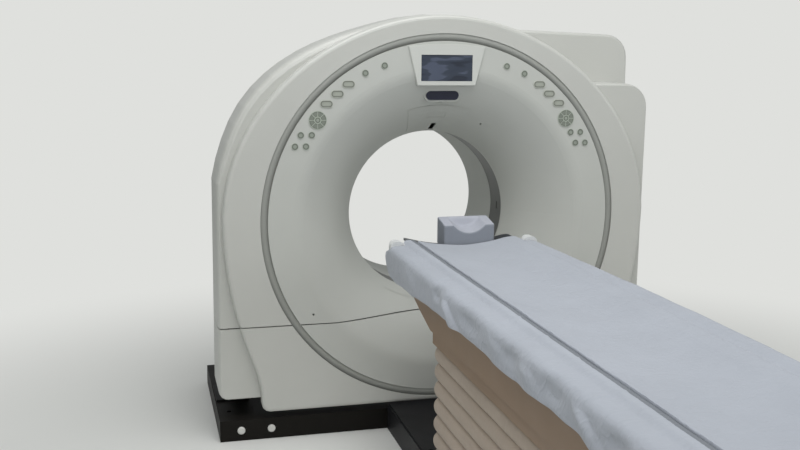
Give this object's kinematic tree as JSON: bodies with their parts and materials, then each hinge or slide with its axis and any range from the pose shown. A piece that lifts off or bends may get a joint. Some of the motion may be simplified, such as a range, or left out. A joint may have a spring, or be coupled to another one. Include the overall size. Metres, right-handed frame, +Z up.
{
  "type": "computed tomography scanner",
  "caption": "Hospital tomography scanner: tilting ring gantry with funnel bore, turning rotor and control keys, and a lifting patient table with a sliding cradle.",
  "frame": {"origin": "middle of the footprint on the floor", "axes": "+Z up, +Y along the bore from the table into the gantry, +X to the right seen from the foot of the table"},
  "size_m": [2, 3.53, 1.8616],
  "materials": {
    "cover_white": "satin moulded cover",
    "panel_white": "satin moulded panel",
    "ring_grey": "matt grey trim",
    "base_black": "black paint",
    "post_black": "black paint",
    "machine_grey": "grey machine paint",
    "rotor_metal": "machined casting",
    "unit_green": "painted housing",
    "unit_grey": "bare housing",
    "slip_brass": "polished tracks",
    "belt_black": "matt",
    "cap_white": "gloss",
    "key_green": "satin",
    "key_pale": "satin",
    "bezel_white": "satin",
    "screen_dark": "gloss",
    "window_dark": "satin dark window",
    "plinth_black": "black paint",
    "column_steel": "ground steel",
    "bellows_beige": "coated cloth",
    "frame_beige": "satin beige paint",
    "rail_white": "gloss",
    "cradle_black": "satin carbon shell",
    "mat_grey": "smooth mat",
    "sheet_blue": "cotton",
    "holder_grey": "soft foam skin"
  },
  "bodies": {
    "base": {"gantry_base": "base_black", "anchor_caps": "cap_white", "tilt_posts": "post_black", "tilt_gearbox": "machine_grey", "table_base": "plinth_black", "column_outer": "column_steel", "bellows": "bellows_beige"},
    "gantry": {"front_cover_upper": "cover_white", "front_cover_lower": "cover_white", "side_cover_upper": "cover_white", "side_cover_lower": "cover_white", "top_box": "cover_white", "rear_cover": "cover_white", "bore_panel_upper": "panel_white", "bore_panel_lower": "panel_white", "ring_trim": "ring_grey", "scan_window": "window_dark", "tunnel": "panel_white", "display_bezel": "bezel_white", "display_screen": "screen_dark", "sensor_window": "window_dark", "stator_frame": "machine_grey", "rotor_motor": "machine_grey", "drive_belt": "belt_black"},
    "rotor": {"rotor_disc": "rotor_metal", "xray_tube": "unit_grey", "hv_generator": "unit_green", "detector": "unit_grey", "slip_ring": "slip_brass"},
    "pulley": {"motor_pulley": "rotor_metal"},
    "lift_stage": {"column_middle": "column_steel"},
    "table_top": {"column_inner": "column_steel", "table_frame": "frame_beige", "side_rails": "rail_white", "rail_drapes": "sheet_blue"},
    "wheel": {"drive_wheel": "belt_black"},
    "cradle_top": {"cradle": "cradle_black", "mattress": "mat_grey", "sheet": "sheet_blue", "head_holder": "holder_grey"},
    "key_left_1": {"key_left_1": "key_green"},
    "key_left_2": {"key_left_2": "key_green"},
    "key_left_3": {"key_left_3": "key_pale"},
    "key_left_4": {"key_left_4": "key_pale"},
    "key_left_5": {"key_left_5": "key_pale"},
    "key_left_6": {"key_left_6": "key_pale"},
    "key_left_7": {"key_left_7": "key_green"},
    "key_left_8": {"key_left_8": "key_green"},
    "key_left_9": {"key_left_9": "key_green"},
    "key_left_10": {"key_left_10": "key_green"},
    "key_right_1": {"key_right_1": "key_green"},
    "key_right_2": {"key_right_2": "key_green"},
    "key_right_3": {"key_right_3": "key_pale"},
    "key_right_4": {"key_right_4": "key_pale"},
    "key_right_5": {"key_right_5": "key_pale"},
    "key_right_6": {"key_right_6": "key_pale"},
    "key_right_7": {"key_right_7": "key_green"},
    "key_right_8": {"key_right_8": "key_green"},
    "key_right_9": {"key_right_9": "key_green"},
    "key_right_10": {"key_right_10": "key_green"}
  },
  "joints": [
    {"name": "gantry_tilt", "type": "hinge", "parent": "base", "child": "gantry", "pos_m": [0, 1.315, 0.965], "axis": [-1, 0, 0], "range_deg": [-18, 18]},
    {"name": "scan_rotation", "type": "hinge", "parent": "gantry", "child": "rotor", "pos_m": [0, 1.415, 0.965], "axis": [0, 1, 0], "continuous": true},
    {"name": "belt_pulley", "type": "hinge", "parent": "gantry", "child": "pulley", "pos_m": [0.54373, 1.459, 0.54019], "axis": [0, 1, 0], "continuous": true},
    {"name": "table_lift", "type": "slide", "parent": "base", "child": "table_top", "axis": [0, 0, 1], "range_m": [-0.35, 0], "deforming": ["bellows"]},
    {"name": "lift_middle", "type": "slide", "parent": "base", "child": "lift_stage", "axis": [0, 0, 1], "range_m": [-0.175, 0]},
    {"name": "cradle_slide", "type": "slide", "parent": "table_top", "child": "cradle_top", "axis": [0, 1, 0], "range_m": [0, 1.6]},
    {"name": "drive_wheel_turn", "type": "hinge", "parent": "table_top", "child": "wheel", "pos_m": [0, 0.355, 0.8475], "axis": [1, 0, 0], "continuous": true},
    {"name": "key_left_1_press", "type": "slide", "parent": "gantry", "child": "key_left_1", "axis": [0, 1, 0], "range_m": [0, 0.002], "stiffness_N_per_m": 500, "springref_m": -0.001},
    {"name": "key_left_2_press", "type": "slide", "parent": "gantry", "child": "key_left_2", "axis": [0, 1, 0], "range_m": [0, 0.002], "stiffness_N_per_m": 500, "springref_m": -0.001},
    {"name": "key_left_3_press", "type": "slide", "parent": "gantry", "child": "key_left_3", "axis": [0, 1, 0], "range_m": [0, 0.002], "stiffness_N_per_m": 500, "springref_m": -0.001},
    {"name": "key_left_4_press", "type": "slide", "parent": "gantry", "child": "key_left_4", "axis": [0, 1, 0], "range_m": [0, 0.002], "stiffness_N_per_m": 500, "springref_m": -0.001},
    {"name": "key_left_5_press", "type": "slide", "parent": "gantry", "child": "key_left_5", "axis": [0, 1, 0], "range_m": [0, 0.002], "stiffness_N_per_m": 500, "springref_m": -0.001},
    {"name": "key_left_6_press", "type": "slide", "parent": "gantry", "child": "key_left_6", "axis": [0, 1, 0], "range_m": [0, 0.002], "stiffness_N_per_m": 500, "springref_m": -0.001},
    {"name": "key_left_7_press", "type": "slide", "parent": "gantry", "child": "key_left_7", "axis": [0, 1, 0], "range_m": [0, 0.002], "stiffness_N_per_m": 500, "springref_m": -0.001},
    {"name": "key_left_8_press", "type": "slide", "parent": "gantry", "child": "key_left_8", "axis": [0, 1, 0], "range_m": [0, 0.002], "stiffness_N_per_m": 500, "springref_m": -0.001},
    {"name": "key_left_9_press", "type": "slide", "parent": "gantry", "child": "key_left_9", "axis": [0, 1, 0], "range_m": [0, 0.002], "stiffness_N_per_m": 500, "springref_m": -0.001},
    {"name": "key_left_10_press", "type": "slide", "parent": "gantry", "child": "key_left_10", "axis": [0, 1, 0], "range_m": [0, 0.002], "stiffness_N_per_m": 500, "springref_m": -0.001},
    {"name": "key_right_1_press", "type": "slide", "parent": "gantry", "child": "key_right_1", "axis": [0, 1, 0], "range_m": [0, 0.002], "stiffness_N_per_m": 500, "springref_m": -0.001},
    {"name": "key_right_2_press", "type": "slide", "parent": "gantry", "child": "key_right_2", "axis": [0, 1, 0], "range_m": [0, 0.002], "stiffness_N_per_m": 500, "springref_m": -0.001},
    {"name": "key_right_3_press", "type": "slide", "parent": "gantry", "child": "key_right_3", "axis": [0, 1, 0], "range_m": [0, 0.002], "stiffness_N_per_m": 500, "springref_m": -0.001},
    {"name": "key_right_4_press", "type": "slide", "parent": "gantry", "child": "key_right_4", "axis": [0, 1, 0], "range_m": [0, 0.002], "stiffness_N_per_m": 500, "springref_m": -0.001},
    {"name": "key_right_5_press", "type": "slide", "parent": "gantry", "child": "key_right_5", "axis": [0, 1, 0], "range_m": [0, 0.002], "stiffness_N_per_m": 500, "springref_m": -0.001},
    {"name": "key_right_6_press", "type": "slide", "parent": "gantry", "child": "key_right_6", "axis": [0, 1, 0], "range_m": [0, 0.002], "stiffness_N_per_m": 500, "springref_m": -0.001},
    {"name": "key_right_7_press", "type": "slide", "parent": "gantry", "child": "key_right_7", "axis": [0, 1, 0], "range_m": [0, 0.002], "stiffness_N_per_m": 500, "springref_m": -0.001},
    {"name": "key_right_8_press", "type": "slide", "parent": "gantry", "child": "key_right_8", "axis": [0, 1, 0], "range_m": [0, 0.002], "stiffness_N_per_m": 500, "springref_m": -0.001},
    {"name": "key_right_9_press", "type": "slide", "parent": "gantry", "child": "key_right_9", "axis": [0, 1, 0], "range_m": [0, 0.002], "stiffness_N_per_m": 500, "springref_m": -0.001},
    {"name": "key_right_10_press", "type": "slide", "parent": "gantry", "child": "key_right_10", "axis": [0, 1, 0], "range_m": [0, 0.002], "stiffness_N_per_m": 500, "springref_m": -0.001}
  ],
  "couplings": [
    {"joint": "belt_pulley", "follows": "scan_rotation", "ratio": 10},
    {"joint": "lift_middle", "follows": "table_lift", "ratio": 0.5},
    {"joint": "drive_wheel_turn", "follows": "cradle_slide", "rad_per_m": -33.333}
  ]
}
